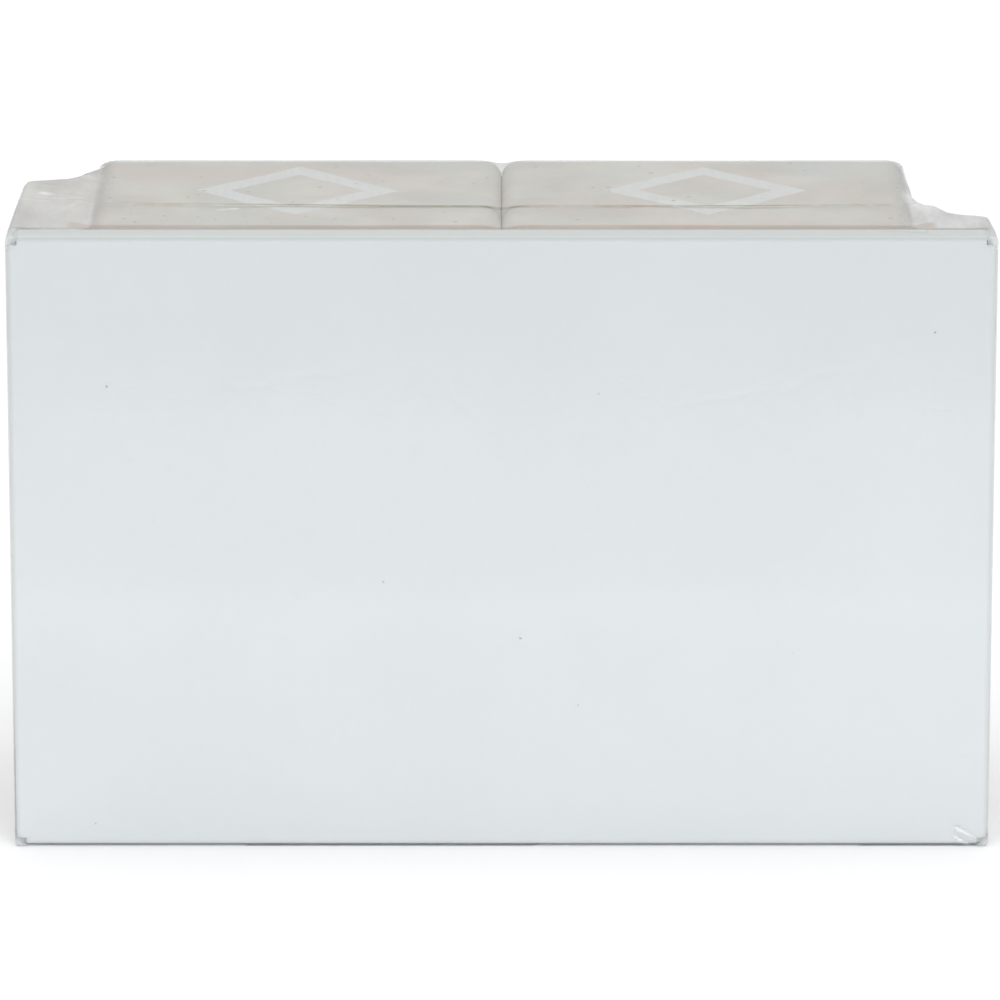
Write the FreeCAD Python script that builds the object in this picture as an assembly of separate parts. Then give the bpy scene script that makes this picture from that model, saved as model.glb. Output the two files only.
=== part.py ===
"""Retail pack of gymnastics chalk: eight paper-wrapped chalk blocks in a shallow board tray,
overwrapped in clear shrink film. Millimetres. The pack stands on one long side: X runs along the
pack, Z is up across the tray, and the tray's floor is the tall plain face that looks towards -Y.
The origin is the middle of the face the pack stands on."""

import FreeCAD, Part
import os
import math

V = FreeCAD.Vector

# ---- chalk blocks -------------------------------------------------------------------------------
columns = 2  # blocks side by side along X
rows = 4  # blocks stacked along Z
chalk_length = 63.5  # along X
chalk_height = 56.5  # along Y, from the tray floor outwards
chalk_thickness = 23.35  # along Z
chalk_edge_radius = 2.2

# ---- paper wrappers -----------------------------------------------------------------------------
paper = 0.15  # two layers of thin wrapping paper
paper_clearance = 0.10  # chalk to paper
column_gap = 0.40  # wrapper to wrapper along X
row_gap = 0.20  # wrapper to wrapper along Z

# ---- board tray ---------------------------------------------------------------------------------
board = 0.60
tray_wall = 5.6  # outer height of the folded walls, along Y
crease_inside = 0.30  # inside radius of a folded crease
side_gap = 0.20  # wrapper to long wall
seat_gap = 0.05  # wrapper to tray floor
end_room = 10.40  # free space between the last wrapper and the corner tab
tab_length = 9.0  # glue tab, along Z from the long wall
tab_relief = 0.40  # tab edges set back from the floor and from the wall's free edge
corner_slit = 0.30  # end wall set back from the long wall's face
glue = 0.10  # glue film between tab and end wall
glue_margin = 0.9  # glue set back from the edges of the tab

# ---- shrink film --------------------------------------------------------------------------------
film = 0.12
film_clearance = 0.10
left_shoulder = 0.663  # share of the pack's depth where the left end tent turns in
left_lean = 0.90  # the left end leans in by this much between the tray wall and that shoulder
left_step = 0.723  # share of the depth at the shallow step, where it starts up the left block
left_step_run = 0.62  # share of the end space that the step spans
left_rest = 0.90  # share of the depth where it lies against the left block
right_ledge = 9.0  # from the tray wall's free edge to where the right end tent turns in
pinch = 3.3  # the trim seal's end stands this far out from the right blocks
pinch_foot = 1.9  # the hollow below the seal lies this much further out
foot_drop = 6.2  # and this much nearer the tray
pinch_rise = 2.8  # from the seal to where the film lies against the right blocks
tent_radius = 3.0
pinch_radius = 0.8
seam_share = 0.416  # share of the depth at which the trim seal runs
seam_bead = 0.35  # radius of the melted bead of the trim seal
step_ease = 0.50  # film starts down behind the wall's free edge by this much

# ---- sizes that follow --------------------------------------------------------------------------
wrap = paper + paper_clearance
wrapped_length = chalk_length + 2 * wrap
wrapped_height = chalk_height + 2 * wrap
wrapped_thickness = chalk_thickness + 2 * wrap
wrapped_radius = chalk_edge_radius + wrap
fold_radius = board + crease_inside

cluster_length = columns * wrapped_length + (columns - 1) * column_gap
cluster_width = rows * wrapped_thickness + (rows - 1) * row_gap
tray_length = cluster_length + 2 * (end_room + 2 * board + glue)
tray_width = cluster_width + 2 * (side_gap + board)
skin = film + film_clearance
pack_depth = board + seat_gap + wrapped_height + 2 * skin
pack_height = tray_width + 2 * skin
half_pack = tray_length / 2 + skin
half_cluster = cluster_length / 2 + skin
film_corner = fold_radius + skin
wall_step = board + side_gap  # the blocks lie this much below the long wall's face

front = -pack_depth / 2  # outer face of the film over the tray floor
back = pack_depth / 2
tray_front = front + skin
tray_bottom = skin
tray_top = tray_bottom + tray_width
block_front = tray_front + board + seat_gap
first_row = tray_bottom + wall_step
wall_edge = tray_front + tray_wall
shoulder = front + left_shoulder * pack_depth
seal = front + seam_share * pack_depth
pinch_tip = half_cluster + pinch

os.makedirs("parts", exist_ok=True)


def export(name, shape):
    """Writes one named node after testing that each of its solids is closed and valid."""
    for solid in shape.Solids:
        if not (solid.isValid() and solid.isClosed() and solid.Volume > 0):
            raise ValueError(name + " has a bad solid")
    shape.exportStep("parts/" + name + ".step")


def rounded_box(length, depth, height, radius, corner):
    """A box with every edge rounded; corner is its lowest corner."""
    box = Part.makeBox(length, depth, height, corner)
    return box.makeFillet(radius, box.Edges)


def rounded_outline(points, radii):
    """A closed wire through points in the XY plane, each corner replaced by a tangent arc."""
    count = len(points)
    starts, middles, ends = [], [], []
    for i, (corner, radius) in enumerate(zip(points, radii)):
        to_last = (points[i - 1] - corner).normalize()
        to_next = (points[(i + 1) % count] - corner).normalize()
        half_angle = to_last.getAngle(to_next) / 2
        reach = radius / math.tan(half_angle)
        bisector = (to_last + to_next).normalize()
        centre = corner + bisector * (radius / math.sin(half_angle))
        starts.append(corner + to_last * reach)
        middles.append(centre - bisector * radius)
        ends.append(corner + to_next * reach)
    edges = []
    for i in range(count):
        edges.append(Part.Arc(starts[i], middles[i], ends[i]).toShape())
        edges.append(Part.LineSegment(ends[i], starts[(i + 1) % count]).toShape())
    return Part.Wire(edges)


def angle_strip(radius, thickness, leg_a, leg_b):
    """Face of a folded strip in the XY plane: the outside of the fold is the origin corner, one leg
    runs along +X and the other along +Y, each measured from that corner."""
    inner = radius - thickness
    turn = math.sqrt(0.5)
    outer_mid = V(radius * (1 - turn), radius * (1 - turn), 0)
    inner_mid = V(radius - inner * turn, radius - inner * turn, 0)
    corners = [
        V(leg_a, 0, 0), V(radius, 0, 0), V(0, radius, 0), V(0, leg_b, 0),
        V(thickness, leg_b, 0), V(thickness, radius, 0), V(radius, thickness, 0),
        V(leg_a, thickness, 0),
    ]
    edges = [
        Part.LineSegment(corners[0], corners[1]).toShape(),
        Part.Arc(corners[1], outer_mid, corners[2]).toShape(),
        Part.LineSegment(corners[2], corners[3]).toShape(),
        Part.LineSegment(corners[3], corners[4]).toShape(),
        Part.LineSegment(corners[4], corners[5]).toShape(),
        Part.Arc(corners[5], inner_mid, corners[6]).toShape(),
        Part.LineSegment(corners[6], corners[7]).toShape(),
        Part.LineSegment(corners[7], corners[0]).toShape(),
    ]
    return Part.Face(Part.Wire(edges))


def placed(shape, origin, along_x, along_y):
    """A copy of shape with its own X and Y axes laid along the two given directions."""
    along_z = along_x.cross(along_y)
    matrix = FreeCAD.Matrix(
        along_x.x, along_y.x, along_z.x, origin.x,
        along_x.y, along_y.y, along_z.y, origin.y,
        along_x.z, along_y.z, along_z.z, origin.z,
        0, 0, 0, 1,
    )
    return shape.transformed(matrix)


def block_corner(column, row):
    """Lowest corner of the wrapper in that place."""
    x = -cluster_length / 2 + column * (wrapped_length + column_gap)
    z = first_row + row * (wrapped_thickness + row_gap)
    return V(x, block_front, z)


def chalk_block(column, row):
    """A pressed block of chalk with softened edges."""
    corner = block_corner(column, row) + V(wrap, wrap, wrap)
    return rounded_box(chalk_length, chalk_height, chalk_thickness, chalk_edge_radius, corner)


def paper_wrapper(column, row):
    """The closed sleeve of paper round one block."""
    corner = block_corner(column, row)
    outside = rounded_box(
        wrapped_length, wrapped_height, wrapped_thickness, wrapped_radius, corner
    )
    inside = rounded_box(
        wrapped_length - 2 * paper,
        wrapped_height - 2 * paper,
        wrapped_thickness - 2 * paper,
        wrapped_radius - paper,
        corner + V(paper, paper, paper),
    )
    return outside.cut(inside)


def long_wall(side):
    """Half the tray floor with one long wall folded up from it, side -1 at the bottom, 1 on top."""
    edge = tray_bottom if side < 0 else tray_top
    strip = angle_strip(fold_radius, board, tray_width / 2, tray_wall)
    length = tray_length - 2 * (board + glue + fold_radius)
    wall = strip.extrude(V(0, 0, length))
    return placed(wall, V(-side * length / 2, tray_front, edge), V(0, 0, -side), V(0, 1, 0))


def end_wall(side):
    """Half the tray floor with one end wall folded up from it."""
    strip = angle_strip(fold_radius, board, tray_length / 2, tray_wall)
    width = tray_width - 2 * (fold_radius + corner_slit)
    wall = strip.extrude(V(0, 0, width))
    middle = tray_bottom + tray_width / 2
    return placed(
        wall, V(side * tray_length / 2, tray_front, middle + side * width / 2), V(-side, 0, 0), V(0, 1, 0)
    )


def corner_tab(end, side):
    """The tab that turns from a long wall and lies inside the end wall."""
    edge = tray_bottom if side < 0 else tray_top
    turn_x = tray_length / 2 - board - glue
    strip = angle_strip(fold_radius, board, fold_radius + tab_relief, tab_length)
    height = tray_wall - fold_radius - 2 * tab_relief
    tab = strip.extrude(V(0, 0, height))
    y = tray_front + fold_radius + tab_relief
    if end * side > 0:
        y += height
    return placed(tab, V(end * turn_x, y, edge), V(-end, 0, 0), V(0, 0, -side))


def board_tray():
    """Floor, four walls and four glue tabs, one folded piece of board."""
    pieces = [long_wall(side) for side in (-1, 1)]
    pieces += [end_wall(side) for side in (-1, 1)]
    pieces += [corner_tab(end, side) for end in (-1, 1) for side in (-1, 1)]
    return pieces[0].multiFuse(pieces[1:]).removeSplitter()


def tray_glue():
    """The four films of glue that hold the tabs to the end walls."""
    pads = []
    y = tray_front + fold_radius + tab_relief + glue_margin
    depth = tray_wall - fold_radius - 2 * (tab_relief + glue_margin)
    height = tab_length - fold_radius - corner_slit - 2 * glue_margin
    for end in (-1, 1):
        x = min(end * (tray_length / 2 - board), end * (tray_length / 2 - board - glue))
        for side in (-1, 1):
            near = fold_radius + corner_slit + glue_margin
            z = tray_bottom + near if side < 0 else tray_top - near - height
            pads.append(Part.makeBox(glue, depth, height, V(x, y, z)))
    return Part.makeCompound(pads)


def film_outline():
    """The film's section, the same at every height: tight over the tray and the blocks, with a full
    tent at the left end and a hollow one, pinched out at the trim seal, at the right."""
    step = half_pack - left_step_run * (half_pack - half_cluster)
    points = [
        V(-half_pack, front, 0),
        V(half_pack, front, 0),
        V(half_pack, wall_edge + right_ledge, 0),
        V(pinch_tip + pinch_foot, seal - foot_drop, 0),
        V(pinch_tip, seal, 0),
        V(half_cluster, seal + pinch_rise, 0),
        V(half_cluster, back, 0),
        V(-half_cluster, back, 0),
        V(-half_cluster, front + left_rest * pack_depth, 0),
        V(-step, front + left_step * pack_depth, 0),
        V(left_lean - half_pack, shoulder, 0),
        V(-half_pack, wall_edge, 0),
    ]
    block_radius = wrapped_radius + skin
    radii = [
        film_corner, film_corner, tent_radius, tent_radius, pinch_radius, tent_radius,
        block_radius, block_radius, tent_radius, tent_radius, tent_radius, tent_radius,
    ]
    return Part.Face(rounded_outline(points, radii))


def film_body(inset):
    """The film's section over the pack's full height, stepped down on top behind the long wall and
    drawn in all round by inset."""
    outline = film_outline()
    if inset:
        outline = outline.makeOffset2D(-inset)
    body = outline.extrude(V(0, 0, pack_height - 2 * inset))
    body.translate(V(0, 0, inset))
    step_y = wall_edge + step_ease + skin - inset
    step_z = pack_height - wall_step - inset
    step = Part.makeBox(3 * half_pack, pack_depth, pack_height, V(-1.5 * half_pack, step_y, step_z))
    return body.cut(step)


def seam():
    """The trim seal: a thin melted bead over the top side and down both ends."""
    over = pack_height - wall_step
    lean = left_lean * (seal - wall_edge) / (shoulder - wall_edge)
    route = [
        V(lean - half_pack, seal, film_corner),
        V(lean - half_pack, seal, over),
        V(pinch_tip, seal, over),
        V(pinch_tip, seal, film_corner),
    ]
    beads = []
    for start, end in zip(route, route[1:]):
        beads.append(Part.makeCylinder(seam_bead, (end - start).Length, start, end - start))
    beads += [Part.makeSphere(seam_bead, corner) for corner in route]
    return beads[0].multiFuse(beads[1:])


def shrink_film():
    """The closed skin of film over everything, with its trim seal."""
    return film_body(0).fuse(seam()).cut(film_body(film))


export("board_tray", board_tray())
export("tray_glue", tray_glue())
number = 0
for row in range(rows):
    for column in range(columns):
        number += 1
        export("chalk_block_%d" % number, chalk_block(column, row))
        export("paper_wrapper_%d" % number, paper_wrapper(column, row))
export("shrink_film", shrink_film())
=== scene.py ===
"""Retail pack of gymnastics chalk: paper-wrapped chalk blocks in a shallow board tray under clear
shrink film. Metres, in the part's own frame: X along the pack, Z up, the tray's floor towards -Y."""

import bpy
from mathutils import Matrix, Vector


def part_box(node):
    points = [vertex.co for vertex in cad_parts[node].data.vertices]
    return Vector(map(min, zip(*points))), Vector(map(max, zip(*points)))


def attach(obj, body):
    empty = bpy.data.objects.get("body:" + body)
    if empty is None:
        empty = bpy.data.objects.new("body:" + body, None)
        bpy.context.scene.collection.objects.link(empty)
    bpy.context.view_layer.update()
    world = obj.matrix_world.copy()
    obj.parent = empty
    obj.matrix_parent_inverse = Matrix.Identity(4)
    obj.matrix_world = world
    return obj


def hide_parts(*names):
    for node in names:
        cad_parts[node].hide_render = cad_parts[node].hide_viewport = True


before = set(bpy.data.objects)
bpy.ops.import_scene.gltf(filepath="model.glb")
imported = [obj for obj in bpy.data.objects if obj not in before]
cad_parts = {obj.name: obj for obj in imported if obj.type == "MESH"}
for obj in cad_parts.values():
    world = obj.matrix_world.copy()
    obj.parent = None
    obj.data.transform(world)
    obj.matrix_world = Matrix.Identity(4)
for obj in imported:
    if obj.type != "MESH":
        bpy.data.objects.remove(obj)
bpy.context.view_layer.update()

import math

import bpy
import numpy as np

# ---- chalk blocks -------------------------------------------------------------------------------
# Magnesium carbonate pressed dry in a steel die: a dense, matt, bright white block with eased edges,
# fine pores and a little loose powder. Eight of them fill the wrappers. The section starts with the
# helpers that every material here uses.

MM = 0.001
chalk_names = ["chalk_block_%d" % number for number in range(1, 9)]


def put(tree, kind, inputs=(), **settings):
    """Adds one shader node, with its settings, and gives each input a plain value or a link."""
    node = tree.nodes.new("ShaderNode" + kind)
    for name, value in settings.items():
        setattr(node, name, value)
    for key, value in dict(inputs).items():
        if isinstance(value, bpy.types.NodeSocket):
            tree.links.new(value, node.inputs[key])
        else:
            node.inputs[key].default_value = value
    return node


def new_material(name):
    """A node material holding only its output node, with its tree and that node."""
    material = bpy.data.materials.new(name)
    material.use_nodes = True
    tree = material.node_tree
    tree.nodes.clear()
    return material, tree, put(tree, "OutputMaterial")


def new_group(name, inputs, outputs):
    """A node group with named inputs, each with its usual value, and named outputs."""
    group = bpy.data.node_groups.new(name, "ShaderNodeTree")
    for title, usual in inputs.items():
        kind = "NodeSocketVector" if usual is None else "NodeSocketFloat"
        socket = group.interface.new_socket(title, in_out="INPUT", socket_type=kind)
        if usual is not None:
            socket.default_value = usual
    for title in outputs:
        group.interface.new_socket(title, in_out="OUTPUT", socket_type="NodeSocketFloat")
    return group, group.nodes.new("NodeGroupInput"), group.nodes.new("NodeGroupOutput")


def maths(tree, operation, *values, clamp=False):
    """The output of one Math node on values or links, held to 0..1 if clamp."""
    return put(tree, "Math", dict(enumerate(values)), operation=operation, use_clamp=clamp).outputs[0]


def blend_colour(tree, share, first, second):
    """first at share 0, second at share 1."""
    node = put(tree, "Mix", {0: share, 6: first, 7: second}, data_type="RGBA")
    return node.outputs[2]


def ramp(tree, value, low, high, to_low=0.0, to_high=1.0):
    """A smooth step of value from to_low at low to to_high at high."""
    wanted = {0: value, 1: low, 2: high, 3: to_low, 4: to_high}
    return put(tree, "MapRange", wanted, interpolation_type="SMOOTHSTEP").outputs[0]


def specks_group():
    """Small ragged spots: a cell's middle shows where its random number is under Density, and Size is
    the spot's share of the cell."""
    group, given, result = new_group(
        "specks", {"Place": None, "Scale": 300.0, "Density": 0.05, "Size": 0.18}, ["Mask"]
    )
    ragged = put(group, "TexNoise", {"Vector": given.outputs["Place"], "Scale": 2500.0, "Detail": 1.0})
    shift = put(group, "VectorMath", {0: ragged.outputs["Color"], "Scale": 0.0004}, operation="SCALE")
    place = put(group, "VectorMath", {0: given.outputs["Place"], 1: shift.outputs[0]}, operation="ADD")
    cells = put(group, "TexVoronoi", {"Vector": place.outputs[0], "Scale": given.outputs["Scale"]})
    pick = put(group, "SeparateColor", {0: cells.outputs["Color"]})
    chosen = maths(group, "LESS_THAN", pick.outputs[0], given.outputs["Density"])
    size = maths(group, "MULTIPLY", given.outputs["Size"], maths(group, "ADD", pick.outputs[1], 0.4))
    away = maths(group, "DIVIDE", cells.outputs["Distance"], size)
    near = maths(group, "SUBTRACT", 1.0, away, clamp=True)
    mask = maths(group, "MULTIPLY", maths(group, "MULTIPLY", near, 3.0, clamp=True), chosen)
    group.links.new(mask, result.inputs["Mask"])
    return group


specks = specks_group()


def use_group(tree, group, **inputs):
    """Places a node group in a tree and gives its named inputs values or links."""
    node = put(tree, "Group", node_tree=group)
    for title, value in inputs.items():
        if isinstance(value, bpy.types.NodeSocket):
            tree.links.new(value, node.inputs[title])
        else:
            node.inputs[title].default_value = value
    return node


def pressed_chalk():
    """Bright white, with cloudy density, open pores painted darker for the shade in them, and a
    powdery bump.
    """
    material, tree, out = new_material("pressed_chalk")
    place = put(tree, "TexCoord").outputs["Object"]
    cloud = put(tree, "TexNoise", {"Vector": place, "Scale": 90.0, "Detail": 4.0}).outputs[0]
    grain = put(tree, "TexNoise", {"Vector": place, "Scale": 2600.0, "Detail": 3.0}).outputs[0]
    pores = use_group(tree, specks, Place=place, Scale=900.0, Density=0.22, Size=0.3).outputs[0]
    loose, dense, pore_shade_grey = (0.80, 0.80, 0.78, 1), (0.90, 0.90, 0.885, 1), (0.55, 0.55, 0.53, 1)
    colour = blend_colour(tree, ramp(tree, cloud, 0.3, 0.7), loose, dense)
    # painted shade: the pores are greyed for the shade inside them
    colour = blend_colour(tree, maths(tree, "MULTIPLY", pores, 0.35), colour, pore_shade_grey)
    height = maths(tree, "SUBTRACT", maths(tree, "MULTIPLY", grain, 0.5), pores)
    bump = put(tree, "Bump", {"Height": height, "Strength": 0.35, "Distance": 0.1 * MM})
    shader = put(
        tree,
        "BsdfPrincipled",
        {
            "Base Color": colour,
            "Roughness": ramp(tree, grain, 0.2, 0.8, 0.86, 0.97),
            "Specular IOR Level": 0.2,
            "Normal": bump.outputs[0],
        },
    )
    tree.links.new(shader.outputs[0], out.inputs[0])
    return material


def coat_node(name, material):
    """Gives a CAD node's own mesh one material."""
    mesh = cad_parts[name].data
    mesh.materials.clear()
    mesh.materials.append(material)


chalk_finish = pressed_chalk()
for name in chalk_names:
    coat_node(name, chalk_finish)

# ---- paper wrappers -----------------------------------------------------------------------------
# A printed sheet is rolled round each block, glued along a lap on the narrow back face, and folded
# like an envelope over both ends: side tucks first, then one long flap, then the other, glued down.

wrapper_names = ["paper_wrapper_%d" % number for number in range(1, 9)]
end_layers = 0.34 * MM  # room that the folded flaps take at each end
flap_depths = (0.04 * MM, 0.18 * MM, 0.32 * MM)  # side tucks, first long flap, second long flap
flap_thickness = 0.05 * MM
lap_width = 9.0 * MM
lap_thickness = 0.06 * MM
wrapper_radius = 2.4 * MM
mark_offset = 6.5 * MM  # how far behind the middle of the broad face the printed lozenge sits
mark_half = (16.0, 16.5)  # the lozenge's half width and half height in millimetres


def loop_of(first, arc, second):
    """A rectangle's rim as inner-corner signs and outward directions, for first-axis places first,
    second-axis places second (both rising within -1..1) and arc steps at each corner. A point is
    signs times (half size less radius) plus radius times direction."""
    turn = np.linspace(0, np.pi / 2, arc + 1)
    parts = []
    for quarter in range(4):
        angle = turn + quarter * np.pi / 2
        corner = [(1, 1), (-1, 1), (-1, -1), (1, -1)][quarter]
        way = np.stack([np.cos(angle), np.sin(angle)], 1)
        parts.append((np.tile(corner, (arc + 1, 1)), way))
        along = (-first, -second, first, second)[quarter]
        other = np.full(len(along), corner[1] if quarter % 2 == 0 else corner[0], float)
        if quarter % 2 == 0:
            along = np.sort(along)[:: -corner[1]]
            signs = np.stack([along, other], 1)
        else:
            along = np.sort(along)[:: corner[0]]
            signs = np.stack([other, along], 1)
        parts.append((signs, np.tile(way[-1], (len(along), 1))))
    signs, ways = zip(*parts)
    return np.vstack(signs).astype(float), np.vstack(ways)


def skin_faces(rings, around):
    """Quads between neighbouring rings and a fan of triangles to a pole at each end."""
    step = np.arange(around)
    ahead = (step + 1) % around
    row = np.arange(rings - 1)[:, None] * around
    quads = np.stack([row + step, row + ahead, row + around + ahead, row + around + step], -1)
    poles = rings * around
    last = (rings - 1) * around
    first_fan = np.stack([ahead, step, np.full(around, poles)], -1)
    last_fan = np.stack([last + step, last + ahead, np.full(around, poles + 1)], -1)
    return quads.reshape(-1, 4), np.vstack([first_fan, last_fan])


def closed_skin(rings):
    """Points and faces of a skin through an array of rings, closed by the middles of its end rings."""
    count, around, _ = rings.shape
    points = np.vstack([rings.reshape(-1, 3), rings[0].mean(0), rings[-1].mean(0)])
    return points, *skin_faces(count, around)


def slab(front, inward):
    """A thin closed sheet: a grid of front points, the same grid moved by inward, and its rim."""
    rows, columns, _ = front.shape
    count = rows * columns
    index = np.arange(count).reshape(rows, columns)
    a, b, c, d = index[:-1, :-1], index[:-1, 1:], index[1:, 1:], index[1:, :-1]
    faces = np.stack([a, b, c, d], -1).reshape(-1, 4)
    rim = np.concatenate([index[0, :], index[1:, -1], index[-1, -2::-1], index[-2:0:-1, 0]])
    ahead = np.roll(rim, -1)
    sides = np.stack([ahead, rim, rim + count, ahead + count], -1)
    points = np.vstack([front.reshape(-1, 3), (front + inward).reshape(-1, 3)])
    return points, np.vstack([faces, faces[:, ::-1] + count, sides]), np.zeros((0, 3), int)


def piece(name, parts, material, nodes, extras=None):
    """One object made of several closed meshes, riding on the pack and standing for its CAD nodes.
    extras maps an attribute's name to one value or vector per point."""
    start = 0
    points, quads, tris = [], [], []
    for part in parts:
        points.append(part[0])
        quads.append(part[1] + start)
        tris.append(part[2] + start)
        start += len(part[0])
    points, quads, tris = np.vstack(points), np.vstack(quads), np.vstack(tris)
    mesh = bpy.data.meshes.new(name)
    mesh.vertices.add(len(points))
    mesh.vertices.foreach_set("co", points.ravel())
    corners = np.concatenate([quads.ravel(), tris.ravel()])
    mesh.loops.add(len(corners))
    mesh.loops.foreach_set("vertex_index", corners)
    starts = np.concatenate([np.arange(len(quads)) * 4, 4 * len(quads) + np.arange(len(tris)) * 3])
    mesh.polygons.add(len(starts))
    mesh.polygons.foreach_set("loop_start", starts)
    mesh.polygons.foreach_set("use_smooth", np.ones(len(starts), bool))
    for title, values in (extras or {}).items():
        kind, key = ("FLOAT", "value") if values.ndim == 1 else ("FLOAT_VECTOR", "vector")
        mesh.attributes.new(title, kind, "POINT").data.foreach_set(key, values.ravel())
    mesh.update(calc_edges=True)
    mesh.validate()
    mesh.set_sharp_from_angle(angle=math.radians(50))
    mesh.materials.append(material)
    made = bpy.data.objects.new(name, mesh)
    bpy.context.scene.collection.objects.link(made)
    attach(made, "root")
    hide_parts(*nodes)


def ripples(points, seed, longest, shortest, count):
    """Smooth unevenness: a sum of sine waves of random direction and phase, the longer the higher,
    scaled to about 1."""
    rng = np.random.default_rng(seed)
    total = np.zeros(len(points))
    for wave in np.geomspace(longest, shortest, count):
        way = rng.normal(size=3)
        way *= 2 * np.pi / (wave * np.linalg.norm(way))
        total += wave / longest * np.sin(points @ way + rng.uniform(0, 2 * np.pi))
    return total


def ridges(points, seed, longest, shortest, count):
    """Narrow creases: each wave adds the sixth power of one less the absolute value of a sine, whose
    phase wanders with a ripple of its own."""
    rng = np.random.default_rng(seed)
    total = np.zeros(len(points))
    for wave in np.geomspace(longest, shortest, count):
        way = rng.normal(size=3)
        way *= np.pi / (wave * np.linalg.norm(way))
        bend = ripples(points, int(rng.integers(1e6)), wave * 1.7, wave, 3)
        total += wave / longest * (1 - np.abs(np.sin(points @ way + bend))) ** 6
    return total


def stretched(low, high):
    """A wrapper's box with its inner end drawn out so that the two columns' folded ends touch."""
    low, high = low.copy(), high.copy()
    inner, keep = (low, high) if low[0] > 0 else (high, low)
    inner[0] = math.copysign(0.005 * MM, keep[0])
    return low, high


def sleeve(low, high, seed):
    """The rolled sheet: rounded rectangle in Y and Z carried from end to end along X, its ends closed
    by shrinking rings that stand back by the flaps' thickness, with the paper's creases pushed in.
    seed picks the unevenness."""
    signs, way = loop_of(np.linspace(-0.97, 0.97, 54), 5, np.linspace(-0.94, 0.94, 22))
    middle, half = (low + high) / 2, (high - low) / 2
    flat = half[1:] - wrapper_radius
    reach = half[0]
    # for half the sheet: each ring's place along X, corner radius, and share of the full outline
    ends = [(reach - end_layers, 0.0, share) for share in (0.12, 0.35, 0.6, 0.82, 0.95, 0.99)]
    for turn in np.linspace(0, np.pi / 2, 6):
        fall = wrapper_radius * (1 - math.cos(turn))
        ends.append((reach - fall, wrapper_radius * math.sin(turn), 1.0))
    along, radius, share = (list(column) for column in zip(*ends))
    body = np.linspace(reach - wrapper_radius, wrapper_radius - reach, 66)[1:-1]
    along = np.concatenate([-np.array(along), -body, np.array(along)[::-1]])
    radius = np.concatenate([radius, np.full(len(body), wrapper_radius), radius[::-1]])
    share = np.concatenate([share, np.ones(len(body)), share[::-1]])
    around = share[:, None, None] * signs * flat + radius[:, None, None] * way
    rings = np.empty((len(along), len(signs), 3))
    rings[..., 0] = middle[0] + along[:, None]
    rings[..., 1:] = middle[1:] + around
    points, quads, tris = closed_skin(rings)
    # the paper's own give: pulled in along the faces, least at the block's edges
    place = (points - middle) / half
    edge = np.sort(np.abs(place), axis=1)[:, 1]
    slack = 1 - 0.6 * edge**4
    sag, fold = 0.05 * MM, 0.10 * MM
    inward = -sag * (1 + ripples(points, seed, 30 * MM, 6 * MM, 5)) * slack
    inward -= fold * ridges(points, seed + 50, 26 * MM, 8 * MM, 4) * slack
    push = place * (np.abs(place) > 0.9)
    push[:, 0] = 0
    size = np.maximum(np.linalg.norm(push, axis=1, keepdims=True), 1e-6)
    points = points + inward[:, None] * push / size * (size > 0.5)
    return points, quads[:, ::-1], tris[:, ::-1]


def flap(hinge, tip, sides_at_hinge, sides_at_tip, depth, lift, outward):
    """One folded flap on an end face, as grids of places across, up and out. Its width runs evenly
    from the hinge's to the tip's, depth is its distance out from the sleeve's end, and its free edge
    stands off by about lift more."""
    across, along = np.meshgrid(np.linspace(0, 1, 25), np.linspace(0, 1, 13))
    left = sides_at_hinge[0] + (sides_at_tip[0] - sides_at_hinge[0]) * along
    right = sides_at_hinge[1] + (sides_at_tip[1] - sides_at_hinge[1]) * along
    side = left + (right - left) * across
    height = hinge + (tip - hinge) * along
    out = depth + lift * along**3 * (0.6 + 0.4 * np.cos(5 * across + 7 * hinge / MM))
    return side, height, out * outward


def envelope_end(low, high, outward, seed):
    """The four flaps on one end: two side tucks, then the lower long flap, then the upper one."""
    rng = np.random.default_rng(seed)
    end = high[0] - end_layers if outward > 0 else low[0] + end_layers
    inset = wrapper_radius
    y0, y1 = low[1] + inset, high[1] - inset
    z0, z1 = low[2] + inset, high[2] - inset
    tall = z1 - z0
    reach = 0.56 * tall
    slant = reach * 0.98  # how much each side of a long flap draws in towards its tip
    tucks, first, second = flap_depths
    layers = []
    for hinge, way in ((y0, 1), (y1, -1)):
        tip = (z0 + tall * 0.40, z1 - tall * 0.40)
        z, y, out = flap(hinge, hinge + way * reach, (z0, z1), tip, tucks, 0.0, outward)
        layers.append((y, z, out, way * outward > 0))
    for hinge, way, depth in ((z0, 1, first), (z1, -1, second)):
        skew = rng.uniform(-0.4, 0.4) * MM
        tip = (y0 + slant + skew, y1 - slant + skew)
        y, z, out = flap(hinge, hinge + way * reach, (y0, y1), tip, depth, 0.01 * MM, outward)
        layers.append((y, z, out, way * outward < 0))
    parts = []
    for y, z, out, faces_out in layers:
        sheet = np.stack([end + out, y, z], -1)
        if not faces_out:
            sheet = sheet[:, ::-1]
        parts.append(slab(sheet, np.array([-outward * flap_thickness, 0, 0])))
    return parts


def lap_strip(low, high):
    """The glued lap: the sheet's outer edge lying on the narrow back face, from end to end, its free
    edge wandering and standing off a little."""
    x = np.linspace(low[0] + 2.2 * MM, high[0] - 2.2 * MM, 60)
    z_top = (low[2] + high[2]) / 2 + lap_width / 2
    grid_x, fall = np.meshgrid(x, np.linspace(0, lap_width, 8))
    wander = 0.12 * MM * np.sin(grid_x / (9 * MM)) * (fall > 0)
    lift = 0.05 * MM * (fall / lap_width) ** 4 * (1 + np.sin(grid_x / (5 * MM)))
    front = np.stack([grid_x, high[1] - 0.02 * MM + lift, z_top - fall - wander], -1)
    return slab(front[:, ::-1], np.array([0, -lap_thickness, 0]))


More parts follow.
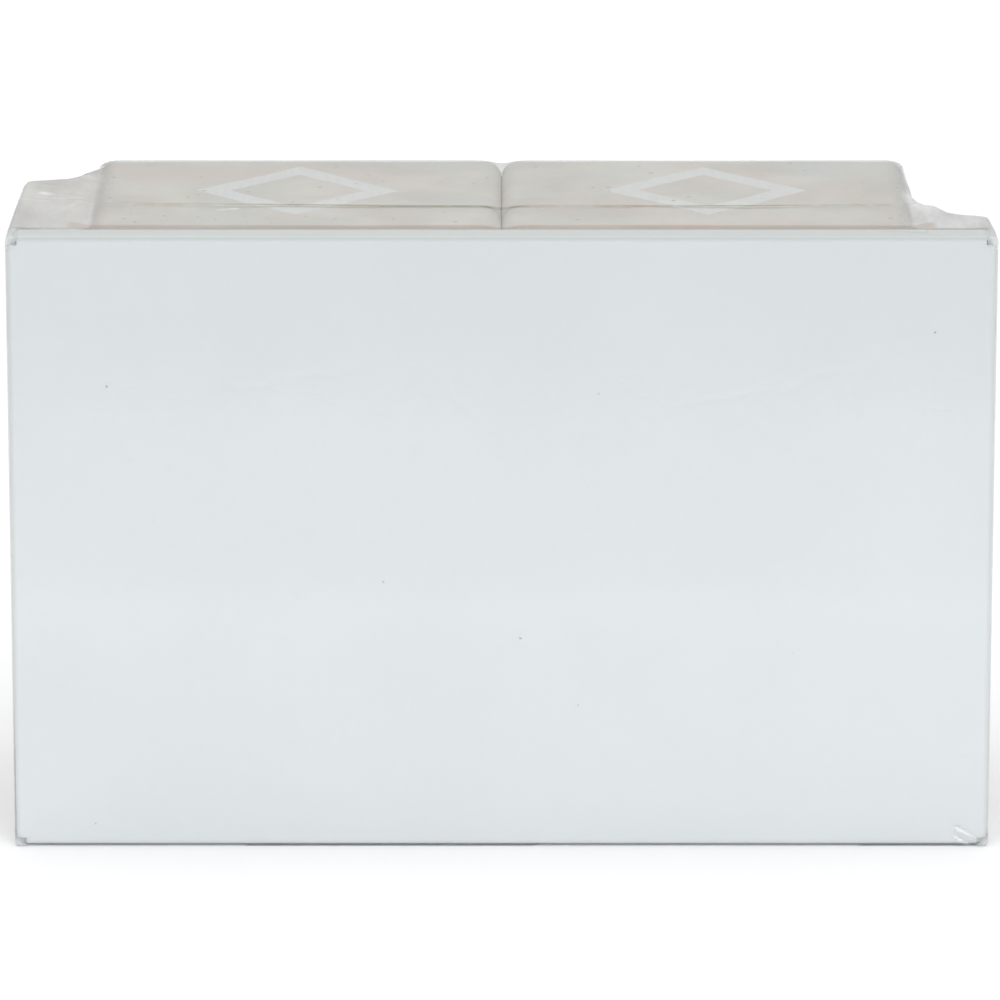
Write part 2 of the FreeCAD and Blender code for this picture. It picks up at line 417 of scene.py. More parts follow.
def crease_group():
    """Crumpled paper or film: thin lines along the borders of two sizes of stretched cells."""
    usual = {"Place": None, "Scale": 60.0, "Sharp": 0.06}
    group, given, result = new_group("crumple", usual, ["Height"])
    warp = put(group, "TexNoise", {"Vector": given.outputs["Place"], "Scale": 120.0, "Detail": 2.0})
    shift = put(group, "VectorMath", {0: warp.outputs["Color"], "Scale": 0.008}, operation="SCALE")
    place = put(group, "VectorMath", {0: given.outputs["Place"], 1: shift.outputs[0]}, operation="ADD")
    total = None
    for factor in (1.0, 2.7):
        scale = maths(group, "MULTIPLY", given.outputs["Scale"], factor)
        inputs = {"Vector": place.outputs[0], "Scale": scale}
        border = put(group, "TexVoronoi", inputs, feature="DISTANCE_TO_EDGE").outputs["Distance"]
        line = maths(group, "DIVIDE", border, given.outputs["Sharp"], clamp=True)
        line = maths(group, "DIVIDE", line, factor)
        total = line if total is None else maths(group, "ADD", total, line)
    group.links.new(total, result.inputs["Height"])
    return group


crumple = crease_group()


def fibre_group():
    """Paper fibre: the mean of noises stretched along three directions in the sheet."""
    group, given, result = new_group("fibre", {"Place": None, "Scale": 900.0}, ["Value"])
    total = None
    for turn in (0.2, 1.3, 2.4):
        rotation = (turn, turn * 1.7, turn)
        wanted = {"Vector": given.outputs["Place"], "Rotation": rotation, "Scale": (1, 0.12, 1)}
        mapping = put(group, "Mapping", wanted)
        inputs = {"Vector": mapping.outputs[0], "Scale": given.outputs["Scale"], "Detail": 2.0}
        noise = put(group, "TexNoise", inputs).outputs[0]
        total = noise if total is None else maths(group, "ADD", total, noise)
    group.links.new(maths(group, "DIVIDE", total, 3.0), result.inputs["Value"])
    return group


fibre = fibre_group()


def wrapper_paper():
    """Thin uncoated paper printed pale beige all over, a plain lozenge outline left unprinted on the
    broad faces, with fibre, soft creases and scuffs that show the white sheet at the folds."""
    material, tree, out = new_material("wrapper_paper")
    place = put(tree, "TexCoord").outputs["Object"]
    sheet = put(tree, "Attribute", attribute_name="face_mm").outputs["Vector"]
    across, up, broad = put(tree, "SeparateXYZ", {0: sheet}).outputs
    wobble = put(tree, "TexNoise", {"Vector": place, "Scale": 500.0, "Detail": 2.0}).outputs[0]
    reach = maths(
        tree,
        "ADD",
        maths(tree, "DIVIDE", maths(tree, "ABSOLUTE", across), mark_half[0]),
        maths(tree, "DIVIDE", maths(tree, "ABSOLUTE", up), mark_half[1]),
    )
    ragged = maths(tree, "MULTIPLY", maths(tree, "SUBTRACT", wobble, 0.5), 0.02)
    reach = maths(tree, "ADD", reach, ragged)
    ring = maths(tree, "MULTIPLY", ramp(tree, reach, 1.0, 0.985), ramp(tree, reach, 0.655, 0.67))
    mark = maths(tree, "MULTIPLY", ring, maths(tree, "GREATER_THAN", broad, 0.5))
    cloud = put(tree, "TexNoise", {"Vector": place, "Scale": 70.0, "Detail": 3.0}).outputs[0]
    hairs = use_group(tree, fibre, Place=place, Scale=1400.0).outputs[0]
    creases = use_group(tree, crumple, Place=place, Scale=42.0, Sharp=0.05).outputs[0]
    dots = use_group(tree, specks, Place=place, Scale=420.0, Density=0.45, Size=0.14).outputs[0]
    wanted = {"Vector": place, "Scale": 38.0, "Detail": 5.0, "Roughness": 0.7}
    tone = put(tree, "TexNoise", wanted).outputs[0]
    deep_beige, pale_beige = (0.64, 0.60, 0.54, 1), (0.745, 0.71, 0.64, 1)
    greenish, pinkish = (0.65, 0.665, 0.61, 1), (0.73, 0.635, 0.57, 1)
    dull_sheet, clean_sheet = (0.765, 0.78, 0.765, 1), (0.83, 0.84, 0.825, 1)
    ink = blend_colour(tree, ramp(tree, cloud, 0.3, 0.7), deep_beige, pale_beige)
    ink = blend_colour(tree, ramp(tree, tone, 0.50, 0.60, 0.0, 0.7), ink, greenish)
    ink = blend_colour(tree, ramp(tree, tone, 0.48, 0.40, 0.0, 0.65), ink, pinkish)
    bare = blend_colour(tree, ramp(tree, hairs, 0.35, 0.65), dull_sheet, clean_sheet)
    worn = maths(tree, "SUBTRACT", 1.0, maths(tree, "DIVIDE", creases, 0.35), clamp=True)
    worn = maths(tree, "MULTIPLY", worn, 0.10)
    patchy = maths(tree, "MULTIPLY", ramp(tree, cloud, 0.52, 0.66), 0.10)
    rubbed = maths(tree, "ADD", worn, patchy)
    show = maths(tree, "MAXIMUM", maths(tree, "MULTIPLY", mark, 0.92), rubbed)
    colour = blend_colour(tree, show, ink, bare)
    colour = blend_colour(tree, maths(tree, "MULTIPLY", dots, 0.7), colour, (0.30, 0.28, 0.25, 1))
    height = maths(tree, "ADD", maths(tree, "MULTIPLY", hairs, 0.25), creases)
    bump = put(tree, "Bump", {"Height": height, "Strength": 0.35, "Distance": 0.12 * MM})
    shader = put(
        tree,
        "BsdfPrincipled",
        {
            "Base Color": colour,
            "Roughness": ramp(tree, hairs, 0.3, 0.7, 0.58, 0.74),
            "Specular IOR Level": 0.35,
            "Normal": bump.outputs[0],
        },
    )
    tree.links.new(shader.outputs[0], out.inputs[0])
    return material


paper_finish = wrapper_paper()
for number, name in enumerate(wrapper_names):
    low, high = stretched(*(np.array(corner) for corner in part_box(name)))
    parts = [sleeve(low, high, 10 + number)]
    for outward in (-1, 1):
        parts += envelope_end(low, high, outward, 30 + 2 * number + outward)
    parts.append(lap_strip(low, high))
    points = np.vstack([part[0] for part in parts])
    middle = (low + high) / 2
    broad = (np.abs(points[:, 2] - middle[2]) > (high[2] - low[2]) / 2 - 0.6 * MM).astype(float)
    face = np.stack(
        [(points[:, 0] - middle[0]) / MM, (points[:, 1] - middle[1] - mark_offset) / MM, broad], 1
    )
    piece("wrapper_%d" % (number + 1), parts, paper_finish, [name], {"face_mm": face})

# ---- board tray and its glue --------------------------------------------------------------------
# One die-cut blank of white clay-coated folding board, creased, folded up and glued at four tabs.
# The coated side is out; the cut edges show the greyish core.


def coated_board():
    """Smooth coated board: faint fibre show-through, rare specks, painted shade greying the creased
    bends, the top one most, the top wall's outer face painted a darker greenish grey, and a greyish
    cut edge on the walls' free rim."""
    material, tree, out = new_material("coated_board")
    place = put(tree, "TexCoord").outputs["Object"]
    hairs = use_group(tree, fibre, Place=place, Scale=500.0).outputs[0]
    cloud = put(tree, "TexNoise", {"Vector": place, "Scale": 28.0, "Detail": 3.0}).outputs[0]
    dots = use_group(tree, specks, Place=place, Scale=300.0, Density=0.03, Size=0.06).outputs[0]
    dull_coat, clean_coat = (0.80, 0.835, 0.845, 1), (0.82, 0.85, 0.86, 1)
    fibres, speck = (0.84, 0.865, 0.87, 1), (0.35, 0.34, 0.30, 1)
    crease_shade_grey, top_face_shade_grey, core = (0.56, 0.58, 0.59, 1), (0.76, 0.80, 0.775, 1), (0.56, 0.53, 0.48, 1)
    colour = blend_colour(tree, ramp(tree, cloud, 0.3, 0.7), dull_coat, clean_coat)
    colour = blend_colour(tree, ramp(tree, hairs, 0.3, 0.7, 0.0, 0.25), colour, fibres)
    colour = blend_colour(tree, maths(tree, "MULTIPLY", dots, 0.7), colour, speck)
    tray_low, tray_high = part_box("board_tray")
    rim, bend = float(tray_high.y), 0.9 * MM
    across, depth, up = put(tree, "SeparateXYZ", {0: place}).outputs
    middle_height = float(tray_low.z + tray_high.z) / 2
    half_height = float(tray_high.z - tray_low.z) / 2
    off_middle = maths(tree, "ABSOLUTE", maths(tree, "SUBTRACT", up, middle_height))
    # painted shade along the bends, dimming the light that the rounded creases catch, a quarter as
    # strong at the bottom as at the top
    crease_shade_by_height = ramp(tree, up, tray_low.z + 2 * bend, tray_high.z - 2 * bend, 0.25, 1.0)
    near_wall = ramp(tree, off_middle, half_height - bend, half_height)
    near_wall = maths(tree, "MULTIPLY", near_wall, crease_shade_by_height)
    end_wall = ramp(tree, maths(tree, "ABSOLUTE", across), tray_high.x - bend, tray_high.x, 0.0, 0.3)
    near_floor = ramp(tree, depth, tray_low.y + 1.5 * bend, tray_low.y + 0.3 * bend)
    crease_shade = maths(tree, "MULTIPLY", maths(tree, "MAXIMUM", near_wall, end_wall), near_floor)
    # painted shade: the top wall's outer face is painted a darker, greener grey than the rest of the
    # coated board
    top_face_shade = ramp(tree, up, tray_high.z - 0.4 * MM, tray_high.z - 0.1 * MM, 0.0, 0.8)
    colour = blend_colour(tree, top_face_shade, colour, top_face_shade_grey)
    colour = blend_colour(tree, crease_shade, colour, crease_shade_grey)
    cut = ramp(tree, depth, rim - 0.08 * MM, rim - 0.02 * MM)
    colour = blend_colour(tree, maths(tree, "MULTIPLY", cut, 0.8), colour, core)
    height = maths(tree, "ADD", maths(tree, "MULTIPLY", hairs, 0.3), cloud)
    bump = put(tree, "Bump", {"Height": height, "Strength": 0.15, "Distance": 0.1 * MM})
    shader = put(
        tree,
        "BsdfPrincipled",
        {
            "Base Color": colour,
            "Roughness": ramp(tree, hairs, 0.3, 0.7, 0.42, 0.52),
            "Specular IOR Level": 0.45,
            "Normal": bump.outputs[0],
        },
    )
    tree.links.new(shader.outputs[0], out.inputs[0])
    return material


def dried_glue():
    """White glue dried cream and slightly glossy, with a brushed unevenness."""
    material, tree, out = new_material("dried_glue")
    place = put(tree, "TexCoord").outputs["Object"]
    streak = put(tree, "TexNoise", {"Vector": place, "Scale": 1200.0, "Detail": 3.0}).outputs[0]
    cream, pale = (0.72, 0.69, 0.58, 1), (0.85, 0.83, 0.76, 1)
    colour = blend_colour(tree, ramp(tree, streak, 0.3, 0.7), cream, pale)
    bump = put(tree, "Bump", {"Height": streak, "Strength": 0.4, "Distance": 0.05 * MM})
    rough = ramp(tree, streak, 0.3, 0.7, 0.28, 0.45)
    wanted = {"Base Color": colour, "Roughness": rough, "Normal": bump.outputs[0]}
    shader = put(tree, "BsdfPrincipled", wanted)
    tree.links.new(shader.outputs[0], out.inputs[0])
    return material


coat_node("board_tray", coated_board())
coat_node("tray_glue", dried_glue())

# ---- shrink film --------------------------------------------------------------------------------
# Clear polyolefin film, sealed round the pack along one trim seal and shrunk tight in hot air. It lies
# on the tray and the blocks, steps down behind the wall, and tents over the room at each end.

film_low, film_high = (np.array(corner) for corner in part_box("shrink_film"))
front = film_low[1]
depth_full = film_high[1] - front
top, half_length = film_high[2], film_high[0]
wrapped_end = float(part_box(wrapper_names[1])[1].x) + 0.2 * MM
wall_edge = float(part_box("board_tray")[1].y) - front
block_top = float(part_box(wrapper_names[-1])[1].z) + 0.2 * MM


def smooth(start, end, value):
    """0 before start, 1 after end, and three t squared less two t cubed between."""
    t = np.clip((value - start) / (end - start), 0, 1)
    return t * t * (3 - 2 * t)


def seam_depth(x):
    """How far behind the tray floor's face the trim seal runs at x: lowest near the middle."""
    x = x / MM
    return (24.3 + 0.00025 * x**2 - 0.008 * x + 0.12 * np.sin(x / 7.0)) * MM


def end_profile(rows, places):
    """Distance from the middle to an end's film, read straight between named places in millimetres."""
    return np.interp(rows / MM, [p[0] for p in places], [p[1] for p in places]) * MM


left_ear = [
    (0, 76.1), (5.8, 76.1), (24, 75.7), (36, 75.4), (38.5, 75.0), (40, 71.8), (41, 69.6), (43.5, 68.0),
    (48, 66.4), (52, 64.9), (54, 64.42), (60, 64.42),
]
right_ear = [
    (0, 76.1), (5.8, 76.1), (14.0, 75.6), (15.3, 74.0), (16.5, 71.6), (18.5, 69.6), (22.6, 67.9),
    (23.6, 66.2), (26.5, 65.0), (30, 64.42), (60, 64.42),
]
taut_end = [(0, 76.1), (5.9, 76.1), (20, 72.2), (34, 68.6), (46, 65.7), (54, 64.42), (60, 64.42)]


def film_rings():
    """Rounded rectangles in X and Z, one after another from the tray's face to the back. Each end's
    place is read from its own profile: the full ear at the top and bottom edges, and the taut line
    between, by a falling exponential of the distance from those edges. The corners are tight on the
    tray and round on the blocks, and change over soonest on the right, where the ear is short."""
    end_steps = np.linspace(0.86, 0.995, 30)
    inner = np.concatenate([np.linspace(0.04, 0.86, 76)[:-1], end_steps])
    across = np.concatenate([-inner[::-1], np.linspace(-0.04, 0.04, 21)[1:-1], inner])
    upper = np.concatenate([np.linspace(0, 0.8, 12)[:-1], np.linspace(0.8, 0.99, 20)])
    signs, way = loop_of(across, 4, np.concatenate([-upper[:0:-1], upper]))
    front_turn, back_turn = 0.4 * MM, 2.6 * MM
    turn = np.linspace(0, np.pi / 2, 7)
    rows = [(0.0, 0.0, k) for k in (0.1, 0.3, 0.5, 0.68, 0.8)]
    rows += [(0.0, front_turn * k, 1.0) for k in np.linspace(20, 1.6, 16)]
    rows += [(front_turn * (1 - math.cos(a)), front_turn * (1 - math.sin(a)), 1.0) for a in turn]
    places = np.concatenate(
        [
            np.linspace(0.8, 5.2, 7), np.arange(5.35, 8.0, 0.22), np.arange(8.3, 23.4, 0.5),
            np.arange(23.5, 26.8, 0.16), np.arange(27.1, depth_full / MM - 2.7, 0.65),
        ]
    )
    rows += [(place * MM, 0.0, 1.0) for place in places]
    rows += [
        (depth_full - back_turn * (1 - math.sin(a)), back_turn * (1 - math.cos(a)), 1.0)
        for a in np.linspace(0, np.pi / 2, 9)
    ]
    rows += [(depth_full, back_turn, k) for k in (0.98, 0.95, 0.88, 0.75, 0.55, 0.3, 0.1)]
    h, inset, share = (np.array(column)[:, None] for column in zip(*rows))
    rounding = np.where(signs[:, 0] > 0, smooth(24 * MM, 56 * MM, h), smooth(40 * MM, 46 * MM, h))
    tight, eased = 0.9, 1.7
    corner = (tight + eased * rounding) * MM
    radius = np.maximum(corner - np.minimum(inset, 0.9 * corner), 0.05 * MM)
    middle_z = top / 2
    z = middle_z + share * (signs[:, 1] * (top / 2 - inset - radius) + radius * way[:, 1])
    from_edge = top / 2 - np.abs(z - middle_z)
    full = np.exp(-np.maximum(from_edge - 2 * MM, 0) / (9 * MM))
    reach_left = end_profile(h, left_ear) * full + end_profile(h, taut_end) * (1 - full)
    reach_right = end_profile(h, right_ear) * full + end_profile(h, taut_end) * (1 - full)
    middle_x = (reach_right - reach_left) / 2
    half_x = (reach_right + reach_left) / 2
    x = share * (middle_x + signs[:, 0] * (half_x - inset - radius) + radius * way[:, 0])
    y = front + h + 0 * x
    return np.stack([x, y, z], -1)


def outward_ways(rings):
    """Unit normals of a grid of rings: the cross product of the steps round it and along it."""
    round_step = np.roll(rings, -1, 1) - np.roll(rings, 1, 1)
    along_step = np.gradient(rings, axis=0)
    way = np.cross(along_step, round_step)
    return way / np.maximum(np.linalg.norm(way, axis=-1, keepdims=True), 1e-12)


def pleat(points, start, end, width, height):
    """A narrow crease between two points: height times a bell curve of the distance from the line,
    rising soon after the start and dying away towards the end."""
    start, end = np.array(start) * MM, np.array(end) * MM
    line = end - start
    t = np.clip((points - start) @ line / (line @ line), 0, 1)
    away = np.linalg.norm(points - start - t[..., None] * line, axis=-1)
    return height * MM * np.exp(-((away / (width * MM)) ** 2)) * (1 - t) ** 0.7 * smooth(0, 0.12, t)


def film_shape():
    """The film's mesh, with four numbers for each of its points: milk, how far free shrinking has
    whitened it; shade, painted shade along the trim seal for its bead's shadow and refraction; where a
    warm painted shade lies on the step behind the wall; and where white glints are painted. h is the
    distance behind the tray floor's face."""
    rings = film_rings()
    way = outward_ways(rings)
    if (way[len(way) // 2, :, 2] * np.sign(rings[len(way) // 2, :, 2] - top / 2)).mean() < 0:
        way = -way
    x, y, z = rings[..., 0], rings[..., 1], rings[..., 2]
    h = y - front
    on_top = np.clip(way[..., 2] * 1.4 - 0.3, 0, 1)
    on_broad = np.clip(np.abs(way[..., 2]) * 1.4 - 0.3, 0, 1)
    on_end = np.clip(np.abs(way[..., 0]) * 1.4 - 0.3, 0, 1)
    points = rings.reshape(-1, 3)
    behind_wall = smooth(wall_edge + 0.1 * MM, wall_edge + 1.5 * MM, h)
    over_blocks = 1 - smooth(wrapped_end - 0.8 * MM, wrapped_end + 2.0 * MM, np.abs(x))
    drop = (top - block_top) * behind_wall * over_blocks * on_top
    # beyond the blocks the roof of each tent sags and puckers between the wall and the ear
    roof = behind_wall * (1 - over_blocks) * on_top
    roof = roof * smooth(half_length, half_length - 5 * MM, np.abs(x))
    pucker = ripples(points * (1, 0.4, 1), 7, 11 * MM, 2.2 * MM, 7).reshape(h.shape)
    drop += roof * (0.40 + 0.05 * pucker) * MM
    # the film dips into the joint between the two columns
    joint_width, joint_dip = 1.9 * MM, 0.45 * MM
    groove = np.exp(-((x / joint_width) ** 2)) * behind_wall * on_top
    drop += joint_dip * groove
    z -= drop  # z is a view of rings, so this moves their points
    # trim seal: one melted bead that splits in two over the gap between the blocks
    bead_width, bead_height, shoulder_width, shoulder_dip = 0.4, 0.08 * MM, 2.2, 0.05 * MM
    off = (h - seam_depth(x)) / MM
    split = 0.5 * np.exp(-((x / (3.2 * MM)) ** 2))
    bead = np.exp(-(((off - split) / bead_width) ** 2)) + np.exp(-(((off + split) / bead_width) ** 2))
    sealed = np.clip(on_top + on_end, 0, 1) * (z > 0.02 * top)
    bead = np.clip(bead, 0, 1) * sealed
    lift = bead_height * bead - shoulder_dip * np.exp(-((off / shoulder_width) ** 2)) * sealed
    shade = bead * (0.75 + 0.4 * ripples(points, 21, 9 * MM, 1.2 * MM, 6).reshape(h.shape))
    # folds and pleats, each from, to, width and height in millimetres: first the chosen ones, at the
    # right end of the seal, round the left ear and along the tray, then random ones from each ear
    level = top / MM - 0.6
    edge = front / MM
    folds = [
        ((67.5, edge + 22.0, level), (67.9, edge + 5.7, level), 0.3, 0.16),
        ((-64.6, edge + 27.5, level), (-52.0, edge + 25.0, level), 0.4, 0.16),
        ((-65.0, edge + 27.5, level), (-74.0, edge + 33.0, level), 0.5, 0.22),
        ((-65.5, edge + 27.0, level), (-71.0, edge + 14.0, level), 0.5, 0.2),
        ((-66.5, edge + 46.0, level), (-61.0, edge + 38.0, level), 0.5, 0.16),
        ((-74.6, edge + 37.6, level), (-67.0, edge + 34.0, level), 0.45, 0.22),
        ((-66.0, edge + 7.0, level), (-52.0, edge + 12.0, level), 0.4, 0.14),
        ((64.6, edge + 6.0, level + 0.5), (56.0, edge + 5.8, level + 0.5), 0.22, 0.16),
        ((76.0, edge + 1.2, 34.0), (76.0, edge + 0.6, 12.0), 0.25, 0.12),
    ]
    rng = np.random.default_rng(5)
    ears = [(-75.0, 37.0, 1.0), (67.8, 22.4, 0.45), (75.4, 14.2, 0.8)]
    for across, behind, firm in ears:
        for start_z in (level, 0.6):
            for _ in range(7):
                away = rng.uniform(5, 24)
                angle = rng.uniform(-1.2, 1.2)
                start = (across, edge + behind, start_z)
                rise = math.copysign(away, top / MM / 2 - start_z)
                inward = -math.copysign(0.2 * away, across)
                finish = (across + inward, edge + behind + away * math.sin(angle), start_z + rise)
                folds.append((start, finish, rng.uniform(0.5, 0.9), firm * rng.uniform(0.07, 0.18)))
    pleats = 0
    for start, end, width, height in folds:
        rise = pleat(points, start, end, width, height).reshape(h.shape)
        lift = lift + rise
        pleats = pleats + rise / (0.3 * MM)
    tight = ripples(points, 3, 60 * MM, 10 * MM, 6).reshape(h.shape)
    lift = lift + 0.03 * MM * tight * smooth(0, 1.5 * MM, h)
    # what has shrunk without being held is milky: the roofs most, the taut ends less
    free = smooth(wrapped_end - 3.4 * MM, wrapped_end + 0.2 * MM, np.abs(x)) * behind_wall
    from_edge = np.minimum(z, top - z)
    gathered = np.exp(-np.maximum(from_edge - 1.5 * MM, 0) / (7 * MM))
    milk = free * (0.2 + 0.62 * gathered) * (1 + 0.05 * pucker) + 0.10 * np.clip(pleats, 0, 1)
    # and a small patch over the opening at each of the tray's corners
    patch_radius = 1.7
    corner = np.hypot(np.maximum(half_length - np.abs(x), 0), from_edge) / MM
    milk += 0.7 * np.exp(-((corner / patch_radius) ** 4)) * (1 - behind_wall)
    # painted highlights: white strokes painted where film wrinkles catch the light, at the lower right
    # corner, the left ear and the top wall
    glint_strokes = [
        ((70.6, edge, 3.3), (75.2, edge, 0.8), 0.34, 1.1),
        ((70.6, edge, 1.7), (73.4, edge, 0.3), 0.3, 1.1),
        ((-72.6, edge + 31.5, level), (-70.2, edge + 30.0, level), 0.5, 0.8),
        ((-70.4, edge + 27.6, level), (-67.6, edge + 26.8, level), 0.45, 0.7),
        ((66.0, edge + 4.0, level + 0.5), (57.0, edge + 4.3, level + 0.5), 0.5, 0.6),
        ((76.0, edge + 0.4, level - 1.6), (74.6, edge + 0.6, level + 0.5), 0.45, 0.9),
    ]
    painted_glints = sum(pleat(points, *rub) for rub in glint_strokes).reshape(h.shape) / MM * 1.3
    # painted shade: a warm reddish-brown shade painted on the film's step behind the wall, for the
    # crevice there
    step_shade = smooth(wall_edge + 0.8 * MM, wall_edge + 2.4 * MM, h)
    step_shade *= smooth(wall_edge + 5.9 * MM, wall_edge + 5.1 * MM, h)
    step_shade *= on_broad * smooth(67.6 * MM, 66.4 * MM, np.abs(x))
    rings = rings + lift[..., None] * way
    made, quads, tris = closed_skin(rings)
    slack = 0.15 * MM
    low_limit, high_limit = film_low - slack, film_high + slack
    tones = {"milk": milk, "shade": shade, "step_shade": step_shade, "painted_glints": painted_glints}
    for title, value in tones.items():
        tones[title] = np.append(np.clip(value, 0, 1).ravel(), (0.0, 0.0))
    return (np.clip(made, low_limit, high_limit), quads[:, ::-1], tris[:, ::-1]), tones


def clear_film():
    """Clear film: what is behind shows through, less a mirror-like share that grows towards grazing
    angles (Schlick's curve for one face, and twice R over one plus R for the sheet's two), a little
    haze, milk where it shrank freely, painted shade along the seal and on the step behind the wall,
    painted white glints, and milk painted darker towards the left end."""
    material, tree, out = new_material("clear_film")
    place = put(tree, "TexCoord").outputs["Object"]
    milk, shade, step_shade, painted_glints = (
        put(tree, "Attribute", attribute_name=title).outputs["Fac"]
        for title in ("milk", "shade", "step_shade", "painted_glints")
    )
    creases = use_group(tree, crumple, Place=place, Scale=26.0, Sharp=0.03).outputs[0]
    wave = put(tree, "TexNoise", {"Vector": place, "Scale": 120.0, "Detail": 3.0}).outputs[0]
    dust = use_group(tree, specks, Place=place, Scale=330.0, Density=0.05, Size=0.08).outputs[0]
    scuff = put(tree, "TexNoise", {"Vector": place, "Scale": 900.0, "Detail": 4.0}).outputs[0]
    drawn = put(tree, "Mapping", {"Vector": place, "Scale": (1.0, 0.35, 1.0)}).outputs[0]
    blotch = put(tree, "TexNoise", {"Vector": drawn, "Scale": 260.0, "Detail": 5.0}).outputs[0]
    height = maths(tree, "ADD", maths(tree, "MULTIPLY", creases, 0.4), wave)
    bump = put(tree, "Bump", {"Height": height, "Strength": 0.10, "Distance": 0.25 * MM}).outputs[0]
    facing = put(tree, "LayerWeight", {"Blend": 0.5, "Normal": bump}).outputs["Facing"]
    grazing = maths(tree, "MULTIPLY", maths(tree, "POWER", facing, 5.0), 0.96)
    one_face = maths(tree, "ADD", 0.04, grazing)
    double, one_more = maths(tree, "MULTIPLY", one_face, 2.0), maths(tree, "ADD", one_face, 1.0)
    mirror = maths(tree, "DIVIDE", double, one_more)
    held = maths(tree, "MULTIPLY", maths(tree, "MAXIMUM", shade, milk), 0.6)
    mirror = maths(tree, "MULTIPLY", mirror, maths(tree, "SUBTRACT", 1.0, held))
    milky = maths(tree, "MULTIPLY", milk, ramp(tree, blotch, 0.3, 0.7, 0.85, 1.1))
    haze = maths(tree, "ADD", 0.03, milky)
    haze = maths(tree, "ADD", haze, ramp(tree, scuff, 0.6, 0.8, 0.0, 0.03), clamp=True)
    haze = maths(tree, "MAXIMUM", haze, maths(tree, "MULTIPLY", dust, 0.5))
    # painted highlights: along the glint strokes the veil turns nearly opaque and white
    haze = maths(tree, "MAXIMUM", haze, painted_glints)
    dull_milk, clean_milk = (0.695, 0.69, 0.67, 1), (0.76, 0.765, 0.76, 1)
    left_milk_shade, tray_milk = (0.60, 0.585, 0.55, 1), (0.79, 0.815, 0.82, 1)
    step_shade_brown, glint_white, speck = (0.56, 0.47, 0.41, 1), (0.97, 0.97, 0.97, 1), (0.25, 0.24, 0.21, 1)
    white = blend_colour(tree, ramp(tree, blotch, 0.35, 0.65), dull_milk, clean_milk)
    across, depth = put(tree, "SeparateXYZ", {0: place}).outputs[:2]
    # painted shade: the milk darkens towards the left end, where less light falls
    left = ramp(tree, across, 0.0, -0.9 * half_length, 0.0, 0.75)
    white = blend_colour(tree, left, white, left_milk_shade)
    on_tray = ramp(tree, depth, front + wall_edge, front + 0.8 * wall_edge)
    white = blend_colour(tree, on_tray, white, tray_milk)
    # painted shade: the step behind the wall is tinted reddish brown, both in the veil and in what
    # shows through
    white = blend_colour(tree, maths(tree, "MULTIPLY", step_shade, 0.75), white, step_shade_brown)
    white = blend_colour(tree, painted_glints, white, glint_white)
    cloud = blend_colour(tree, dust, white, speck)
    # painted shade: along the seal what shows through is darkened, for the shadow and refraction of
    # its bead
    see = blend_colour(tree, shade, (0.975, 0.98, 0.98, 1), (0.58, 0.56, 0.50, 1))
    see = blend_colour(tree, step_shade, see, (0.84, 0.72, 0.66, 1))
    through = put(tree, "BsdfTransparent", {"Color": see})
    veil = put(tree, "BsdfPrincipled", {"Base Color": cloud, "Roughness": 0.5, "Normal": bump})
    gloss = put(
        tree,
        "BsdfPrincipled",
        {
            "Base Color": (1, 1, 1, 1),
            "Metallic": 1.0,
            "Roughness": ramp(tree, scuff, 0.3, 0.8, 0.07, 0.15),
            "Normal": bump,
        },
    )
    hazy = put(tree, "MixShader", {0: haze, 1: through.outputs[0], 2: veil.outputs[0]})
    glossy = put(tree, "MixShader", {0: mirror, 1: hazy.outputs[0], 2: gloss.outputs[0]})
    tree.links.new(glossy.outputs[0], out.inputs[0])
    return material


film_part, film_tones = film_shape()
piece("film", [film_part], clear_film(), ["shrink_film"], film_tones)

# ---- floor, light and camera --------------------------------------------------------------------
# A plain pale table top with a slightly darker floor beyond its front edge, a large soft lamp
# overhead, one behind for the backdrop, one in front, a weak strip low in front of the tray, and a
# long lens looking a little down on the pack.


def pale_floor():
    """Matt white table, a touch greyer in front of its edge."""
    material, tree, out = new_material("pale_floor")
    place = put(tree, "TexCoord").outputs["Object"]
    y = put(tree, "SeparateXYZ", {0: place}).outputs[1]
    grain = put(tree, "TexNoise", {"Vector": place, "Scale": 6.0, "Detail": 4.0}).outputs[0]
    table = blend_colour(tree, grain, (0.95, 0.95, 0.95, 1), (0.97, 0.97, 0.97, 1))
    beyond = ramp(tree, y, -0.30, -0.31)
    colour = blend_colour(tree, beyond, table, (0.66, 0.67, 0.68, 1))
    wanted = {"Base Color": colour, "Roughness": 0.9, "Specular IOR Level": 0.1}
    shader = put(tree, "BsdfPrincipled", wanted)
    tree.links.new(shader.outputs[0], out.inputs[0])
    return material


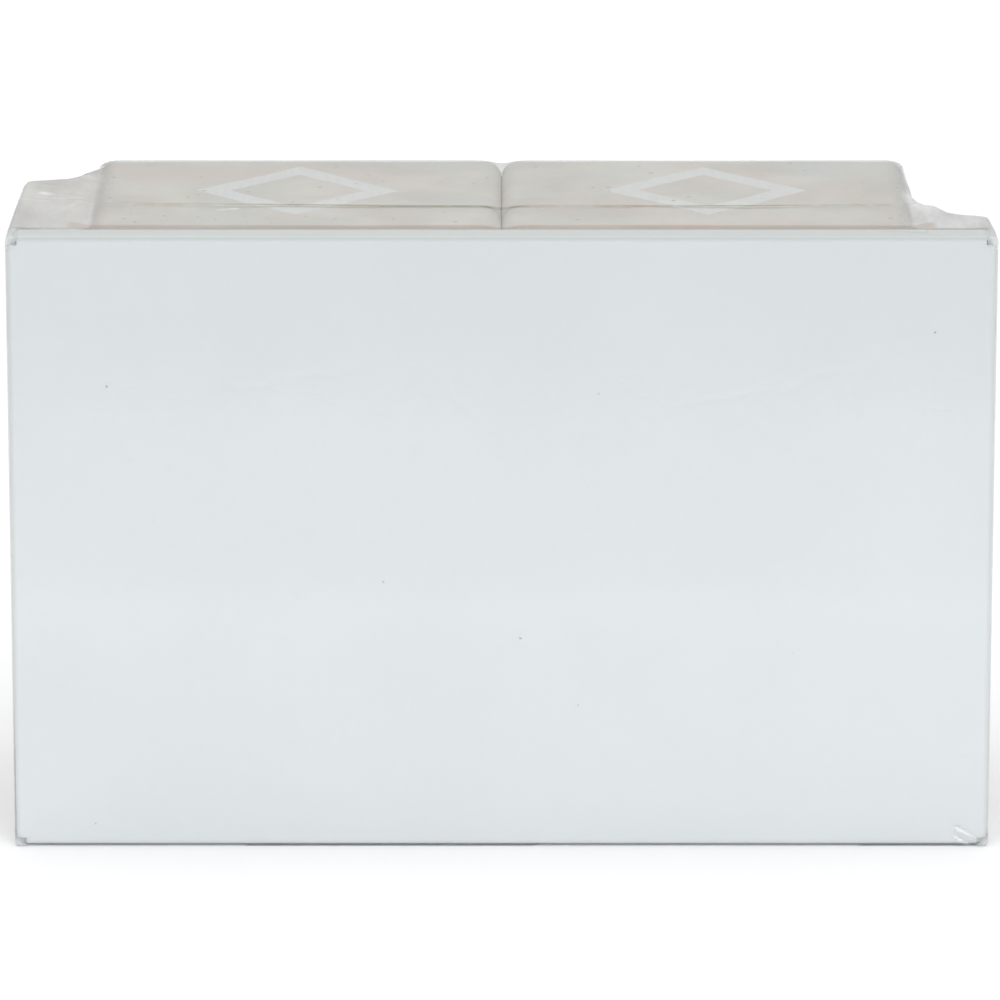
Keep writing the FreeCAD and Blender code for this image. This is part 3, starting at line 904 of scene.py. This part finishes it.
def floor_sheet(half):
    """The table top: a flat square grid at Z = 0, its places x and y rising evenly over twice half."""
    count = 25
    x, y = np.meshgrid(np.linspace(-half, half, count), np.linspace(-half, half, count), indexing="ij")
    index = np.arange(count * count).reshape(count, count)
    faces = np.stack([index[:-1, :-1], index[1:, :-1], index[1:, 1:], index[:-1, 1:]], -1)
    mesh = bpy.data.meshes.new("table_top")
    mesh.from_pydata(np.stack([x, y, 0 * x], -1).reshape(-1, 3), [], faces.reshape(-1, 4).tolist())
    mesh.materials.append(pale_floor())
    made = bpy.data.objects.new("table_top", mesh)
    bpy.context.scene.collection.objects.link(made)


def soft_lamp(name, place, aim, size, power):
    """A square area lamp at place, turned so that it shines towards aim. Returns its object."""
    lamp = bpy.data.lights.new(name, "AREA")
    lamp.size = size
    lamp.energy = power
    made = bpy.data.objects.new(name, lamp)
    made.location = place
    bpy.context.scene.collection.objects.link(made)
    way = np.array(aim, float) - np.array(place, float)
    flat = math.hypot(way[0], way[1])
    made.rotation_euler = (math.atan2(flat, -way[2]), 0, math.atan2(-way[0], way[1]) if flat else 0)
    return made


floor_sheet(4.0)
soft_lamp("overhead", (0.0, -0.45, 1.7), (0, 0, 0.05), 2.2, 26.3).visible_glossy = False
soft_lamp("backdrop", (0.0, 1.2, 1.2), (0, 1.2, 0), 1.5, 6).visible_glossy = False
soft_lamp("front", (0.5, -1.8, 0.9), (0, 0, 0.05), 0.4, 2.6).visible_glossy = False
strip = soft_lamp("low_strip", (0.08, -0.17, 0.01), (0.08, 0, 0.0), 0.5, 0.028)
strip.visible_camera = strip.visible_glossy = False
strip.data.shape, strip.data.size_y = "RECTANGLE", 0.015

world = bpy.data.worlds.new("studio")
world.use_nodes = True
world.node_tree.nodes["Background"].inputs[0].default_value = (0.45, 0.455, 0.46, 1)
world.node_tree.nodes["Background"].inputs[1].default_value = 1.0
bpy.context.scene.world = world
bpy.context.scene.view_settings.view_transform = "Standard"

camera_tilt = math.radians(15.5)
camera_range = 1.194  # metres from the aim point, on the face of the tray's floor
aim_point = (-0.00025, front, 0.05628)
camera = bpy.data.cameras.new("camera")
camera.sensor_width = 36
camera.lens = 278.2
camera.clip_end = 20
eye = bpy.data.objects.new("camera", camera)
eye.location = (
    aim_point[0],
    aim_point[1] - camera_range * math.cos(camera_tilt),
    aim_point[2] + camera_range * math.sin(camera_tilt),
)
eye.rotation_euler = (math.pi / 2 - camera_tilt, 0, 0)
bpy.context.scene.collection.objects.link(eye)
bpy.context.scene.camera = eye
